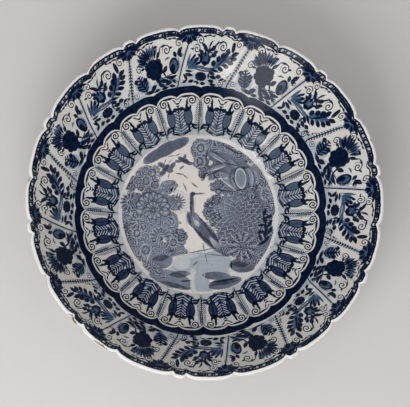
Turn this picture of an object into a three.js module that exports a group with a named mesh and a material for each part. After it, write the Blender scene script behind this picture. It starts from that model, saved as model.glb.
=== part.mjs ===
// A round tin-glazed earthenware dish with a lobed edge, such as a pottery pressed over a mould.
// The clay dish and its foot ring are separate pieces of clay, stuck together before firing.
// Three coats of tin glaze lie on them: one on the face, one on the back and the outside of the
// foot, and one in the well inside the foot. The standing face of the foot was wiped bare.
// Units are millimetres, +Z is up, and the origin is the middle of the standing plane.
// Angles run anticlockwise from +X, seen from above.
import * as THREE from "three";

// Driving dimensions of the dish. Each one includes the glaze.
const DISH_DIAMETER = 350; // over the crests of the edge lobes
const DISH_HEIGHT = 76; // table to the top of the edge
const FLOOR_HEIGHT = 12.5; // table to the painted floor
const FLOOR_RADIUS = 70; // flat part of the floor
const FLOOR_THICKNESS = 7;
const EDGE_THICKNESS = 4.6;
const EDGE_SLOPE = 45; // degrees, the wall's slope where it meets the edge
const EDGE_REACH = 68; // how far down the wall stays close to that slope
const COVE_REACH = 32; // how gently the floor turns up into the wall
const UNDER_COVE_REACH = 27; // the same turn, on the underside

// Driving dimensions of the foot and the glaze.
const FOOT_RADIUS = 78; // outside
const FOOT_WIDTH = 8;
const FOOT_BEVEL = 1;
const FOOT_SHOULDER = 2; // flat underside left outside the foot
const BARE_HEIGHT = 1.5; // how far up the foot the glaze was wiped off
const GLAZE = 0.5;

// The edge was cut into lobes by hand, so they aren't quite even. Ten notches stand alone, and
// between them ten narrow lobes each stand between two notches. All are in degrees.
const NOTCHES = [30, 65, 99, 133, 173, 207, 240, 280, 317, 353];
const NARROW_LOBES = [11.2, 48, 82.2, 116.2, 154, 189.5, 224, 262, 300.2, 334.8];
const NARROW_LOBE_WIDTH = 4.2;
const NOTCH_DEPTH = 3.6;
const NOTCH_DIP = 1.2; // how much lower the edge is in a notch
const NOTCH_RUN = 26; // how far down the wall a notch can be felt
const LOBE_SQUARENESS = 5; // 2 is a round lobe, and more is flatter with tighter corners

// The dish sagged a little in the kiln, so one diameter is longer.
const LONGER_BY = 0.015;
const LONGER_AT = 64.5; // degrees

// Fineness of the mesh.
const WIDE_LOBE_STEPS = [0, 0.08, 0.3, 0.7, 0.92];
const NARROW_LOBE_STEPS = [0, 0.28, 0.72];
const WALL_STEPS = [0, 0.2, 0.38, 0.54, 0.7, 0.86, 1];
const EDGE_STEPS = [45, 0]; // degrees round the edge, from the face to its tip

const FULL_TURN = 360;
const { degToRad, smoothstep } = THREE.MathUtils;
const at = (r, z) => new THREE.Vector2(r, z);

// The clay lies one coat of glaze below the finished surface.
const FINISHED = 0;
const CLAY = GLAZE;

// The cross-section: radius across, height up.
const underside = FLOOR_HEIGHT - FLOOR_THICKNESS;
const underFlatRadius = FOOT_RADIUS + FOOT_SHOULDER;
const footInside = FOOT_RADIUS - FOOT_WIDTH;
const edgeRadius = DISH_DIAMETER / 2;
const edgeCentre = at(edgeRadius - EDGE_THICKNESS / 2, DISH_HEIGHT - EDGE_THICKNESS / 2);
const upTheWall = at(1, 0).rotateAround(at(0, 0), degToRad(EDGE_SLOPE));

// A point on the rounded edge, at an angle from the wall's own direction.
function onEdge(turn, depth) {
  const way = upTheWall.clone().rotateAround(at(0, 0), degToRad(turn));
  return edgeCentre.clone().addScaledVector(way, EDGE_THICKNESS / 2 - depth);
}

// One side of the wall, from its flat part up to the edge.
function wall(start, reach, end) {
  const curve = new THREE.CubicBezierCurve(
    start,
    at(start.x + reach, start.y),
    end.clone().addScaledVector(upTheWall, -EDGE_REACH),
    end,
  );
  return WALL_STEPS.map((step) => curve.getPoint(step));
}

// The face from the floor to the tip of the edge, at a depth below the finished surface.
function face(depth) {
  const start = at(FLOOR_RADIUS, FLOOR_HEIGHT - depth);
  const round = EDGE_STEPS.map((turn) => onEdge(turn, depth));
  return [...wall(start, COVE_REACH, onEdge(90, depth)), ...round];
}

// The back from the underside to the tip of the edge.
function back(depth) {
  const start = at(underFlatRadius, underside + depth);
  const round = EDGE_STEPS.map((turn) => onEdge(-turn, depth));
  return [...wall(start, UNDER_COVE_REACH, onEdge(-90, depth)), ...round];
}

// The lobes of the edge, each from one notch to the next.
const notchAngles = [
  ...NOTCHES,
  ...NARROW_LOBES.map((middle) => middle - NARROW_LOBE_WIDTH / 2),
  ...NARROW_LOBES.map((middle) => middle + NARROW_LOBE_WIDTH / 2),
].sort((a, b) => a - b);
const lobes = notchAngles.map((start, i) => {
  const next = notchAngles[i + 1] ?? notchAngles[0] + FULL_TURN;
  return { start, width: next - start };
});

// Every place round the dish that has vertices, with how deep in a notch it is, from 0 to 1.
const places = lobes.flatMap(({ start, width }) => {
  const narrow = width < 2 * NARROW_LOBE_WIDTH;
  return (narrow ? NARROW_LOBE_STEPS : WIDE_LOBE_STEPS).map((step) => ({
    angle: degToRad(start + step * width),
    notch: Math.abs(2 * step - 1) ** LOBE_SQUARENESS,
  }));
});

// A point of the cross-section carried to one place round the dish.
function vertex(point, { angle, notch }) {
  const share = notch * smoothstep(point.x, edgeRadius - NOTCH_RUN, edgeRadius);
  const r = point.x - share * NOTCH_DEPTH;
  const flat = at(r * Math.cos(angle), r * Math.sin(angle));
  const longer = at(Math.cos(degToRad(LONGER_AT)), Math.sin(degToRad(LONGER_AT)));
  flat.addScaledVector(longer, flat.dot(longer) * LONGER_BY);
  return [flat.x, flat.y, point.y - share * NOTCH_DIP];
}

// Inside the reach of the notches every second place is enough, and the axis is one vertex.
function spacing(point) {
  if (point.x === 0) return places.length;
  return point.x < edgeRadius - NOTCH_RUN ? 2 : 1;
}

// Carries a cross-section round the dish. It runs clockwise, and it closes on itself or ends on
// the axis. The diagonals lean the same way on both sides of a touching pair of pieces.
function turned(section, closes) {
  const vertices = [];
  const rings = section.map((point) => {
    const every = spacing(point);
    const first = vertices.length;
    places.filter((_, i) => i % every === 0).forEach((place) => vertices.push(vertex(point, place)));
    return { point, every, first };
  });
  const corner = (ring, i) => ring.first + Math.floor((i % places.length) / ring.every);
  const faces = [];
  const pairs = rings.slice(1).map((ring, i) => [rings[i], ring]);
  if (closes) pairs.push([rings.at(-1), rings[0]]);
  for (const [a, b] of pairs) {
    const outward = a.point.x < b.point.x || (a.point.x === b.point.x && a.point.y > b.point.y);
    places.forEach((_, i) => {
      const [a0, a1, b0, b1] = [corner(a, i), corner(a, i + 1), corner(b, i), corner(b, i + 1)];
      faces.push(...(outward ? [[a0, b0, b1], [a0, b1, a1]] : [[a0, b0, a1], [a1, b0, b1]]));
    });
  }
  const kept = faces.filter(([a, b, c]) => a !== b && b !== c && c !== a);
  const geometry = new THREE.BufferGeometry();
  geometry.setAttribute("position", new THREE.Float32BufferAttribute(vertices.flat(), 3));
  geometry.setIndex(kept.flat());
  geometry.computeVertexNormals();
  return geometry;
}

const clay = new THREE.MeshStandardMaterial({ color: 0xb49a78, roughness: 0.9, metalness: 0 });
const paintedGlaze = new THREE.MeshStandardMaterial({ color: 0x9aa3b5, roughness: 0.15, metalness: 0 });
const plainGlaze = new THREE.MeshStandardMaterial({ color: 0xdcd8cf, roughness: 0.2, metalness: 0 });

const dish = new THREE.Group();
function add(name, section, closes, material) {
  const mesh = new THREE.Mesh(turned(section, closes), material);
  mesh.name = name;
  dish.add(mesh);
}

// The clay dish: its face from the middle to the tip of the edge, then its back.
const clayFace = face(CLAY);
const clayBack = back(CLAY).reverse();
add(
  "moulded_dish",
  [at(0, clayFace[0].y), ...clayFace, ...clayBack.slice(1), at(0, underside + CLAY)],
  false,
  clay,
);

// The foot: a ring of clay with its standing corners rounded off.
const footTop = underside + CLAY;
add(
  "foot_ring",
  [
    at(footInside + CLAY, footTop),
    at(FOOT_RADIUS - CLAY, footTop),
    at(FOOT_RADIUS - CLAY, BARE_HEIGHT),
    at(FOOT_RADIUS - CLAY - FOOT_BEVEL, 0),
    at(footInside + CLAY + FOOT_BEVEL, 0),
    at(footInside + CLAY, BARE_HEIGHT),
  ],
  true,
  clay,
);

// The coat on the face: out over its top, and back along the clay.
const glazedFace = face(FINISHED);
add(
  "face_glaze",
  [at(0, glazedFace[0].y), ...glazedFace, ...face(CLAY).reverse(), at(0, clayFace[0].y)],
  false,
  paintedGlaze,
);

// The coat on the back, which runs down the outside of the foot.
add(
  "back_glaze",
  [
    ...back(FINISHED).reverse(),
    at(FOOT_RADIUS, underside),
    at(FOOT_RADIUS, BARE_HEIGHT),
    at(FOOT_RADIUS - CLAY, BARE_HEIGHT),
    at(FOOT_RADIUS - CLAY, footTop),
    ...back(CLAY),
  ],
  true,
  plainGlaze,
);

// The coat in the well inside the foot.
add(
  "base_glaze",
  [
    at(0, footTop),
    at(footInside + CLAY, footTop),
    at(footInside + CLAY, BARE_HEIGHT),
    at(footInside, BARE_HEIGHT),
    at(footInside, underside),
    at(0, underside),
  ],
  false,
  plainGlaze,
);

export default dish;
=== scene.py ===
import math
from functools import partial

import bmesh
import bpy
from mathutils import Matrix, Vector, geometry, noise


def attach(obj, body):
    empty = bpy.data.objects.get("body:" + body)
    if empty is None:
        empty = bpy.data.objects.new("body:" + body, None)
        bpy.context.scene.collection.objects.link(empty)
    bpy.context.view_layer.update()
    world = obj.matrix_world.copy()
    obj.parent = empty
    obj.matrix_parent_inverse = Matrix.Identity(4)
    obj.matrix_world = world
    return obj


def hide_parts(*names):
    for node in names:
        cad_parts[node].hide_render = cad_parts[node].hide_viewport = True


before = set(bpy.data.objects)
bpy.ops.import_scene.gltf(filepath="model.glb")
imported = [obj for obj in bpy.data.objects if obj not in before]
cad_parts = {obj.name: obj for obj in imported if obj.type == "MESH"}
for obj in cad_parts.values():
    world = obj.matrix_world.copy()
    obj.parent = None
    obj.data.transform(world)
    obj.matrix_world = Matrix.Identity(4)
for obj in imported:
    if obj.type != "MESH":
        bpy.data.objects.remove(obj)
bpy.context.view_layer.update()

# The clay dish
# Buff earthenware, pressed over a mould and trimmed by hand, so the lobes of its edge are uneven.
# It shows only where the glaze has chipped off the edge.
MM = 0.001
EDGE_RADIUS = 175 * MM
DISH_HEIGHT = 76 * MM
FLOOR_HEIGHT = 12.5 * MM
FLOOR_RADIUS = 70 * MM
UNDERSIDE = 5.5 * MM
UNDER_FLAT_RADIUS = 80 * MM
EDGE_THICKNESS = 4.6 * MM
EDGE_SLOPE = math.radians(45)
EDGE_REACH = 68 * MM
COVE_REACH = 32 * MM
UNDER_COVE_REACH = 27 * MM
GLAZE = 0.5 * MM

NOTCHES = [30, 65, 99, 133, 173, 207, 240, 280, 317, 353]
NARROW_LOBES = [11.2, 48, 82.2, 116.2, 154, 189.5, 224, 262, 300.2, 334.8]
NARROW_LOBE_HALF = 2.1
NOTCH_DEPTH = 3.6 * MM
NOTCH_DIP = 1.2 * MM
NOTCH_RUN = 26 * MM
LOBE_SQUARENESS = 5
LONGER_BY = 0.015
LONGER_AT = 64.5

SECTORS = 16
STEPS_ROUND = 720
SMALL_STEPS_ROUND = 240
FLOOR_STEPS = 8
TIP_TURNS = (72, 54, 36, 18, 0)
COAT_DEPTH = 1.4 * GLAZE  # a coat reaches a little into the clay, so that no gap shows at a chip

narrow_ends = [middle + side * NARROW_LOBE_HALF for middle in NARROW_LOBES for side in (-1, 1)]
notch_angles = sorted(NOTCHES + narrow_ends)


def direction(degrees):
    """The two parts of a flat direction."""
    turn = math.radians(degrees)
    return math.cos(turn), math.sin(turn)


def at(radius, height):
    """A point of the section that is turned."""
    return Vector((radius, 0, height))


def clamp(value):
    return min(max(value, 0), 1)


def smooth(value):
    value = clamp(value)
    return value * value * (3 - 2 * value)


LONGER_WAY = Vector(direction(LONGER_AT))
UP_THE_WALL = at(math.cos(EDGE_SLOPE), math.sin(EDGE_SLOPE))
EDGE_CENTRE = at(EDGE_RADIUS - EDGE_THICKNESS / 2, DISH_HEIGHT - EDGE_THICKNESS / 2)


def notch_at(angle):
    """How deep in a notch of the edge a direction is, from 0 on a lobe to 1 in the notch."""
    degrees = math.degrees(angle) % 360
    start = max((a for a in notch_angles if a <= degrees), default=notch_angles[-1] - 360)
    end = min((a for a in notch_angles if a > degrees), default=notch_angles[0] + 360)
    return abs(2 * (degrees - start) / (end - start) - 1) ** LOBE_SQUARENESS


def on_edge(turn, depth):
    """A point of the rounded edge, at an angle from the wall's own direction."""
    way = Matrix.Rotation(-math.radians(turn), 3, "Y") @ UP_THE_WALL
    return EDGE_CENTRE + way * (EDGE_THICKNESS / 2 - depth)


def wall(start, reach, end, count):
    """One side of the wall, from its flat part up to the edge."""
    handle = start + Vector((reach, 0, 0))
    return geometry.interpolate_bezier(start, handle, end - UP_THE_WALL * EDGE_REACH, end, count)


def face_line(depth, count):
    """The face from the middle to the tip of the edge, at a depth below the finished surface."""
    height = FLOOR_HEIGHT - depth
    floor = [at(FLOOR_RADIUS * i / FLOOR_STEPS, height) for i in range(FLOOR_STEPS)]
    side = wall(at(FLOOR_RADIUS, height), COVE_REACH, on_edge(90, depth), count)
    return floor + side + [on_edge(turn, depth) for turn in TIP_TURNS]


def back_line(depth, count):
    """The back from the tip of the edge down to the flat of the underside."""
    start = at(UNDER_FLAT_RADIUS, UNDERSIDE + depth)
    side = wall(start, UNDER_COVE_REACH, on_edge(-90, depth), count)
    return (side + [on_edge(-turn, depth) for turn in TIP_TURNS])[::-1]


def turned(line, closes, steps=STEPS_ROUND):
    """Spins a section through one sector, repeats the sector all round, and joins it up."""
    bm = bmesh.new()
    verts = [bm.verts.new(point) for point in line]
    edges = [bm.edges.new(pair) for pair in zip(verts, verts[1:])]
    if closes:
        edges.append(bm.edges.new((verts[-1], verts[0])))
    spinning = {"cent": (0, 0, 0), "axis": (0, 0, 1), "space": Matrix.Identity(4)}
    turn = math.tau / SECTORS
    bmesh.ops.spin(bm, geom=verts + edges, angle=turn, steps=steps // SECTORS, **spinning)
    sector = bm.verts[:] + bm.edges[:] + bm.faces[:]
    rest = SECTORS - 1
    bmesh.ops.spin(bm, geom=sector, angle=turn * rest, steps=rest, use_duplicate=True, **spinning)
    bmesh.ops.remove_doubles(bm, verts=bm.verts, dist=1e-6)
    return bm


def make_lobes(bm):
    """Draws the edge in at its notches, and stretches the dish along its longer diameter."""
    notches = {}
    for vert in bm.verts:
        radius = math.hypot(vert.co.x, vert.co.y)
        if radius > EDGE_RADIUS - NOTCH_RUN:
            angle = round(math.atan2(vert.co.y, vert.co.x), 5)
            if angle not in notches:
                notches[angle] = notch_at(angle)
            share = notches[angle] * smooth((radius - EDGE_RADIUS + NOTCH_RUN) / NOTCH_RUN)
            inward = Vector((-vert.co.x, -vert.co.y, 0)).normalized()
            vert.co += inward * NOTCH_DEPTH * share
            vert.co.z -= NOTCH_DIP * share
        along = vert.co.xy.dot(LONGER_WAY) * LONGER_BY
        vert.co += Vector((LONGER_WAY.x * along, LONGER_WAY.y * along, 0))


def finished(bm, name, materials, node):
    """Makes the bmesh an object that stands for a CAD node and rides on the dish."""
    bmesh.ops.recalc_face_normals(bm, faces=bm.faces)
    bm.verts.index_update()
    # The sectors join in any order, so the faces are sorted.
    faces = sorted(bm.faces, key=lambda face: sorted(vert.index for vert in face.verts))
    for index, face in enumerate(faces):
        face.index = index
    bm.faces.sort()
    mesh = bpy.data.meshes.new(name)
    bm.to_mesh(mesh)
    bm.free()
    mesh.shade_smooth()
    piece = bpy.data.objects.new(name, mesh)
    bpy.context.scene.collection.objects.link(piece)
    for material in materials:
        mesh.materials.append(material)
    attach(piece, "root")
    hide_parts(node)
    return piece


def feed(socket, value):
    """Links a socket, or sets a plain value."""
    if isinstance(value, bpy.types.NodeSocket):
        socket.id_data.links.new(value, socket)
    else:
        socket.default_value = value


def feed_all(node, **values):
    """Feeds a node's inputs. Underscores in an input's name stand for spaces."""
    for key, value in values.items():
        feed(node.inputs[key.replace("_", " ")], value)


def add_node(tree, kind, settings=None, **values):
    new = tree.nodes.new("ShaderNode" + kind)
    for key, value in (settings or {}).items():
        setattr(new, key, value)
    feed_all(new, **values)
    return new


def worked_out(kind, operation, values):
    """A node that works on some values, in the tree that they come from."""
    tree = next(value.id_data for value in values if isinstance(value, bpy.types.NodeSocket))
    new = add_node(tree, kind, {"operation": operation})
    for socket, value in zip(new.inputs, values):
        feed(socket, value)
    return new.outputs


def calc(operation, *values):
    return worked_out("Math", operation, values)["Value"]


def vector_calc(operation, *values):
    outputs = worked_out("VectorMath", operation, values)
    return outputs["Value" if operation in ("DOT_PRODUCT", "LENGTH") else "Vector"]


plus = partial(calc, "ADD")
minus = partial(calc, "SUBTRACT")
times = partial(calc, "MULTIPLY")
divided = partial(calc, "DIVIDE")
scaled = partial(calc, "MULTIPLY_ADD")
smaller = partial(calc, "MINIMUM")
larger = partial(calc, "MAXIMUM")


def blend(share, first, second):
    """A colour between two, by a share from 0 to 1."""
    new = add_node(share.id_data, "Mix", {"data_type": "RGBA"}, Factor=share, A=first, B=second)
    return new.outputs["Result"]


def mottle(tree, scale, detail=2):
    """Noise on the object's own coordinates, whose scale is per metre."""
    place = add_node(tree, "TexCoord").outputs["Object"]
    new = add_node(tree, "TexNoise", Vector=place, Scale=scale, Detail=detail)
    return new.outputs["Fac"]


def bumps(height, strength, depth):
    """The normal of a slightly uneven surface, whose depth is in metres."""
    new = add_node(height.id_data, "Bump", Height=height, Strength=strength, Distance=depth)
    return new.outputs["Normal"]


def new_material(name):
    """An empty material, its tree and its shader."""
    material = bpy.data.materials.new(name)
    material.use_nodes = True
    tree = material.node_tree
    tree.nodes.clear()
    shader = add_node(tree, "BsdfPrincipled")
    add_node(tree, "OutputMaterial", Surface=shader.outputs["BSDF"])
    return material, tree, shader


def shares(value, low, high):
    """A value carried from low..high to 0..1, and held there."""
    new = add_node(value.id_data, "MapRange", Value=value, From_Min=low, From_Max=high)
    return new.outputs["Result"]


PALE_BUFF = (0.5, 0.36, 0.22, 1)
DARK_BUFF = (0.34, 0.22, 0.12, 1)
STAINED = (0.16, 0.09, 0.045, 1)

clay, tree, shader = new_material("fired_clay")
speckle = shares(mottle(tree, 900, 3), 0.35, 0.7)
stain = shares(mottle(tree, 60, 3), 0.4, 0.65)
buff = blend(stain, blend(speckle, DARK_BUFF, PALE_BUFF), STAINED)
grit = bumps(mottle(tree, 1400, 3), 0.5, 0.3 * MM)
feed_all(shader, Base_Color=buff, Roughness=0.9, Specular_IOR_Level=0.3, Normal=grit)

face_side = face_line(GLAZE, count=30)
back_side = back_line(GLAZE, count=24)
bm = turned(face_side + back_side[1:] + [at(0, UNDERSIDE + GLAZE)], closes=False)
make_lobes(bm)
dish = finished(bm, "clay_dish", [clay], "moulded_dish")

# The foot ring
# A ring of the same clay, luted to the underside. Its standing face was wiped free of glaze and
# has worn a little.
FOOT_RADIUS = 78 * MM
FOOT_WIDTH = 8 * MM
FOOT_BEVEL = 1 * MM
BARE_HEIGHT = 1.5 * MM
ROUND_OFF = 0.3 * FOOT_BEVEL
FOOT_INSIDE = FOOT_RADIUS - FOOT_WIDTH
CLAY_OUTSIDE = FOOT_RADIUS - GLAZE
CLAY_INSIDE = FOOT_INSIDE + GLAZE

foot_outline = [
    at(CLAY_INSIDE, UNDERSIDE + GLAZE),
    at(CLAY_OUTSIDE, UNDERSIDE + GLAZE),
    at(CLAY_OUTSIDE, FOOT_BEVEL),
    at(CLAY_OUTSIDE - ROUND_OFF, ROUND_OFF),
    at(CLAY_OUTSIDE - FOOT_BEVEL, 0),
    at(CLAY_INSIDE + FOOT_BEVEL, 0),
    at(CLAY_INSIDE + ROUND_OFF, ROUND_OFF),
    at(CLAY_INSIDE, FOOT_BEVEL),
]
bm = turned(foot_outline, closes=True, steps=SMALL_STEPS_ROUND)
make_lobes(bm)
foot = finished(bm, "foot_ring_clay", [clay], "foot_ring")

# The painted face
# White tin glaze, painted in cobalt blue before firing, so the blue lies in the glaze. It ends at
# the tip of the edge, where it has chipped off the clay in places.
FLOOR_ZONE = 80.5 * MM
WALL_ZONE = 126.9 * MM
PANEL = 22.5  # degrees of one of the sixteen panels, on the even design
DIVIDER_TOP = 5.5
FAN_MIDDLE = PANEL / 2
LEAN = 5.7 / 41  # degrees that a rim divider turns for each millimetre towards the middle
LEAN_FROM = 170
RIM_DIVIDERS = [
    5.5, 29.5, 50.7, 74, 95.5, 117.5, 140, 162.5,
    185.5, 209.5, 231.4, 255.2, 277.5, 300.5, 322, 343.2,
]
FAN_MIDDLES = [
    12, 33.8, 56.5, 78.8, 102, 123.5, 146, 168.7,
    191, 214.5, 237.5, 260, 284, 307, 329.2, 349.5,
]
DESIGN_SCALE = 1.0065  # the even design is this much larger than the dish's plan at the edge
DESIGN_SPREAD = 0.014  # and this much more on the floor
RIM_DESIGN_FROM = 122  # in millimetres, where the rim's panels take over from the wall's fans
RIM_DESIGN_BLEND = 7
MEDALLION = 80 * MM
HAND_SWAY = 0.5 * MM
HAND_TREMOR = 0.45 * MM
HAND_SEED = 7  # without a seed, the clock would make the hand's sway differ in each run
# Each chip has its direction, half its width in degrees and its reach in millimetres.
CHIPS = [
    (223, 3.2, 2.6), (235, 3.6, 2.2), (21, 1.2, 1.6), (27, 0.8, 1.4), (84, 1, 1.5),
    (114, 1, 1.6), (131.5, 2.2, 1.8), (174, 1, 1.8), (206, 1.2, 1.6), (300, 0.8, 1.2),
]
CHIP_ZONE = 6 * MM
CHIP_DEPTH = 0.75 * MM
CHIP_SLOPE = 0.35 * MM


def chip_at(angle, inset):
    """How much glaze has chipped off, from 0 to 1, by direction and distance from the edge."""
    degrees = math.degrees(angle) % 360
    most = 0.0
    for middle, half, reach in CHIPS:
        off = abs((degrees - middle + 180) % 360 - 180) / half
        if off < 1.3:
            ragged = noise.noise(Vector((degrees * 1.7, inset / MM * 1.1, 3)))
            limit = reach * MM * (1 - off * off) * (1 + 0.6 * ragged)
            most = max(most, smooth((limit - inset) / CHIP_SLOPE))
    return most


def evened(degrees, painted, first):
    """How far a panel drawn by hand at one angle must turn to lie on the even design."""
    degrees %= 360
    ends = [painted[-1] - 360, *painted, painted[0] + 360]
    k = max(i for i, end in enumerate(ends) if end <= degrees)
    share = (degrees - ends[k]) / (ends[k + 1] - ends[k])
    return first + PANEL * (k - 1 + share) - degrees


def painters_place(x, y, z):
    """Where on the even design a point of the real face lies, because a hand drew it."""
    spread = DESIGN_SCALE + DESIGN_SPREAD * (DISH_HEIGHT - z) / (DISH_HEIGHT - FLOOR_HEIGHT)
    radius = math.hypot(x, y) * spread
    angle = math.degrees(math.atan2(y, x))
    on_wall = evened(angle, FAN_MIDDLES, FAN_MIDDLE)
    on_rim = evened(angle - (LEAN_FROM - radius / MM) * LEAN, RIM_DIVIDERS, DIVIDER_TOP)
    if radius >= MEDALLION:
        rim_share = smooth((radius / MM - RIM_DESIGN_FROM) / RIM_DESIGN_BLEND)
        angle += on_wall + (on_rim - on_wall) * rim_share
    cos, sin = direction(angle)
    place = Vector((radius * cos, radius * sin, 0))
    place += noise.noise_vector(place * 14) * HAND_SWAY * clamp(radius / (50 * MM))
    place += noise.noise_vector(place * 70) * HAND_TREMOR
    return place.xy


noise.seed_set(HAND_SEED)
coat_back = face_line(COAT_DEPTH, count=16)[::-1]
bm = turned(face_line(0, count=46) + coat_back, closes=False)
plan = {vert: painters_place(*vert.co) for vert in bm.verts}
for vert in bm.verts:
    radius = math.hypot(vert.co.x, vert.co.y)
    if radius > EDGE_RADIUS - CHIP_ZONE:
        gone = chip_at(math.atan2(vert.co.y, vert.co.x), EDGE_RADIUS - radius) * CHIP_DEPTH
        vert.co += Vector((-vert.co.x, -vert.co.y, 0)).normalized() * gone
        vert.co.z -= gone
make_lobes(bm)
uv = bm.loops.layers.uv.new("plan")
for face in bm.faces:
    for loop in face.loops:
        loop[uv].uv = plan[loop.vert]
    middle = sum((plan[vert] for vert in face.verts), Vector((0, 0))) / len(face.verts)
    face.material_index = sum(middle.length > zone for zone in (FLOOR_ZONE, WALL_ZONE))

WHITE = (0.69, 0.68, 0.65, 1)
PINHOLE = (0.11, 0.085, 0.065, 1)
WARM = (0.68, 0.62, 0.56, 1)
COOL = (0.56, 0.6, 0.62, 1)
PALE_WASH = (0.27, 0.33, 0.41, 1)
CLEAR_BLUE = (0.013, 0.046, 0.115, 1)
DEEP_BLUE = (0.0006, 0.0028, 0.011, 1)
COBALT = (0.003, 0.0135, 0.05, 1)
# The lip's brighter white is a painted highlight on the rounded edge.
LIP_HIGHLIGHT_WHITE = (0.88, 0.87, 0.85, 1)
THIN_BLUE = (0.033, 0.083, 0.17, 1)
# Each ink has its colour where it lies thin, where it lies thick, and its least and most cover.
INKS = {
    "light": (PALE_WASH, PALE_WASH, 0.3, 0.8),
    "mid": (THIN_BLUE, CLEAR_BLUE, 0.85, 1),
    "dark": (COBALT, DEEP_BLUE, 0.97, 1),
    "edge": (LIP_HIGHLIGHT_WHITE, LIP_HIGHLIGHT_WHITE, 0.85, 1),
}
BARE = 9.0  # an ink field is below 1 where the brush painted, and starts well above it
SOFT_EDGE = 0.06  # how far to each side of 1 the ink fades


def new_group(name, inputs, outputs):
    """An empty node group, with the sockets of its two ends."""
    kinds = {"v": "NodeSocketVector", "f": "NodeSocketFloat"}
    tree = bpy.data.node_groups.new(name, "ShaderNodeTree")
    for sockets, way in ((inputs, "INPUT"), (outputs, "OUTPUT")):
        for socket, kind in sockets.items():
            tree.interface.new_socket(socket, in_out=way, socket_type=kinds[kind])
    start = tree.nodes.new("NodeGroupInput")
    end = tree.nodes.new("NodeGroupOutput")
    return tree, start.outputs, end.inputs


def line_at(value, middle, half):
    """The ink of a line that lies where a value passes a middle. It ends at 1 on both sides."""
    off = calc("ABSOLUTE", minus(value, middle))
    return divided(off, half)


def seen(given):
    """Where the paper lies for the mark, along it and across it. It ends at 1 both ways."""
    return [vector_calc("DOT_PRODUCT", given["Paper"], given[way]) for way in ("Along", "Across")]


def spine(given):
    """The place along a mark, its square, and the distance from its bent middle line."""
    along, across = seen(given)
    square = times(along, along)
    off = calc("ABSOLUTE", scaled(square, given["Bend"], across))
    return along, square, off


def square_size(along, across):
    return scaled(across, across, times(along, along))


def round_size(along, across):
    return calc("SQRT", square_size(along, across))


def pointed(given, along, square, off):
    """An outline that is pointed at both ends, and can be fatter at one of them."""
    fat = scaled(along, given["Taper"], 1)
    return scaled(off, fat, square)


def stroke_ink(given):
    return pointed(given, *spine(given))


def dab_ink(given):
    return square_size(*seen(given))


def ring_ink(given):
    return line_at(round_size(*seen(given)), 1, given["Line"])


def curl_ink(given):
    """A spiral line, whose radius grows by one pitch each turn."""
    along, across = seen(given)
    size = round_size(along, across)
    turns = divided(calc("ARCTAN2", across, along), -math.tau)
    phase = plus(divided(size, given["Pitch"]), turns)
    line = line_at(calc("FRACT", phase), 0.5, given["Line"])
    return larger(line, size)


def frond_ink(given):
    """Slanting leaflets on both sides of a stem, inside a pointed outline."""
    along, square, off = spine(given)
    outline = pointed(given, along, square, off)
    phase = scaled(off, given["Slant"], along)
    wave = calc("FRACT", times(phase, given["Pairs"]))
    return larger(line_at(wave, 0.5, given["Line"]), outline)


def bar_ink(given):
    """A line that keeps its width to its ends."""
    along, _, off = spine(given)
    return larger(off, calc("ABSOLUTE", along))


def scales_ink(given):
    """Rings of overlapping petals round a middle, with four more petals in each ring."""
    along, across = seen(given)
    size = round_size(along, across)
    ring = times(size, given["Rings"])
    inner = calc("FLOOR", ring)
    round_way = divided(calc("ARCTAN2", across, along), math.tau)
    count = scaled(inner, 4, 6)
    petal = scaled(round_way, count, times(inner, 0.4))
    petal = minus(calc("FRACT", petal), 0.5)
    hollow = times(times(petal, petal), 2.6)
    height = plus(minus(ring, inner), hollow)
    return larger(line_at(height, 0.75, given["Line"]), size)


# Each kind of mark is a node group that adds its ink to what is there, with these inputs more.
MARKS = {
    "stroke": (stroke_ink, "Bend", "Taper"),
    "dab": (dab_ink,),
    "ring": (ring_ink, "Line"),
    "curl": (curl_ink, "Pitch", "Line"),
    "frond": (frond_ink, "Bend", "Taper", "Pairs", "Slant", "Line"),
    "bar": (bar_ink, "Bend"),
    "scales": (scales_ink, "Rings", "Line"),
}
KINDS = {}
for kind, (shape, *form) in MARKS.items():
    places = dict.fromkeys(("Paper", "Along", "Across"), "v")
    sizes = dict.fromkeys(("Ink", *form), "f")
    tree, given, result = new_group(kind.capitalize(), {**places, **sizes}, {"Ink": "f"})
    feed(result["Ink"], smaller(shape(given), given["Ink"]))
    KINDS[kind] = tree

# Panel paper turns the dish so that the middle of the nearest panel points up.
needed = {"Plan": "v", "Every": "f", "Axis": "f", "Middle": "f", "Lean": "f"}
given_back = {"Paper": "v", "Across": "f", "Radius": "f", "Off": "f"}
tree, given, result = new_group("Panel paper", needed, given_back)
part = add_node(tree, "SeparateXYZ", Vector=given["Plan"]).outputs
size = round_size(part["X"], part["Y"])
angle = calc("DEGREES", calc("ARCTAN2", part["Y"], part["X"]))
depth = minus(LEAN_FROM, size)
level = minus(angle, times(depth, given["Lean"]))
ahead = divided(minus(level, given["Middle"]), given["Every"])
index = calc("ROUND", ahead)
axis = scaled(index, given["Every"], given["Axis"])
turn = calc("RADIANS", minus(90, axis))
turned_paper = add_node(
    tree, "VectorRotate", {"rotation_type": "Z_AXIS"}, Vector=given["Plan"], Angle=turn
)
feed(result["Paper"], turned_paper.outputs["Vector"])
off = times(minus(ahead, index), given["Every"])
feed(result["Off"], off)
feed(result["Across"], line_at(off, 0, PANEL / 2))
feed(result["Radius"], size)
PANEL_PAPER = tree


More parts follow.
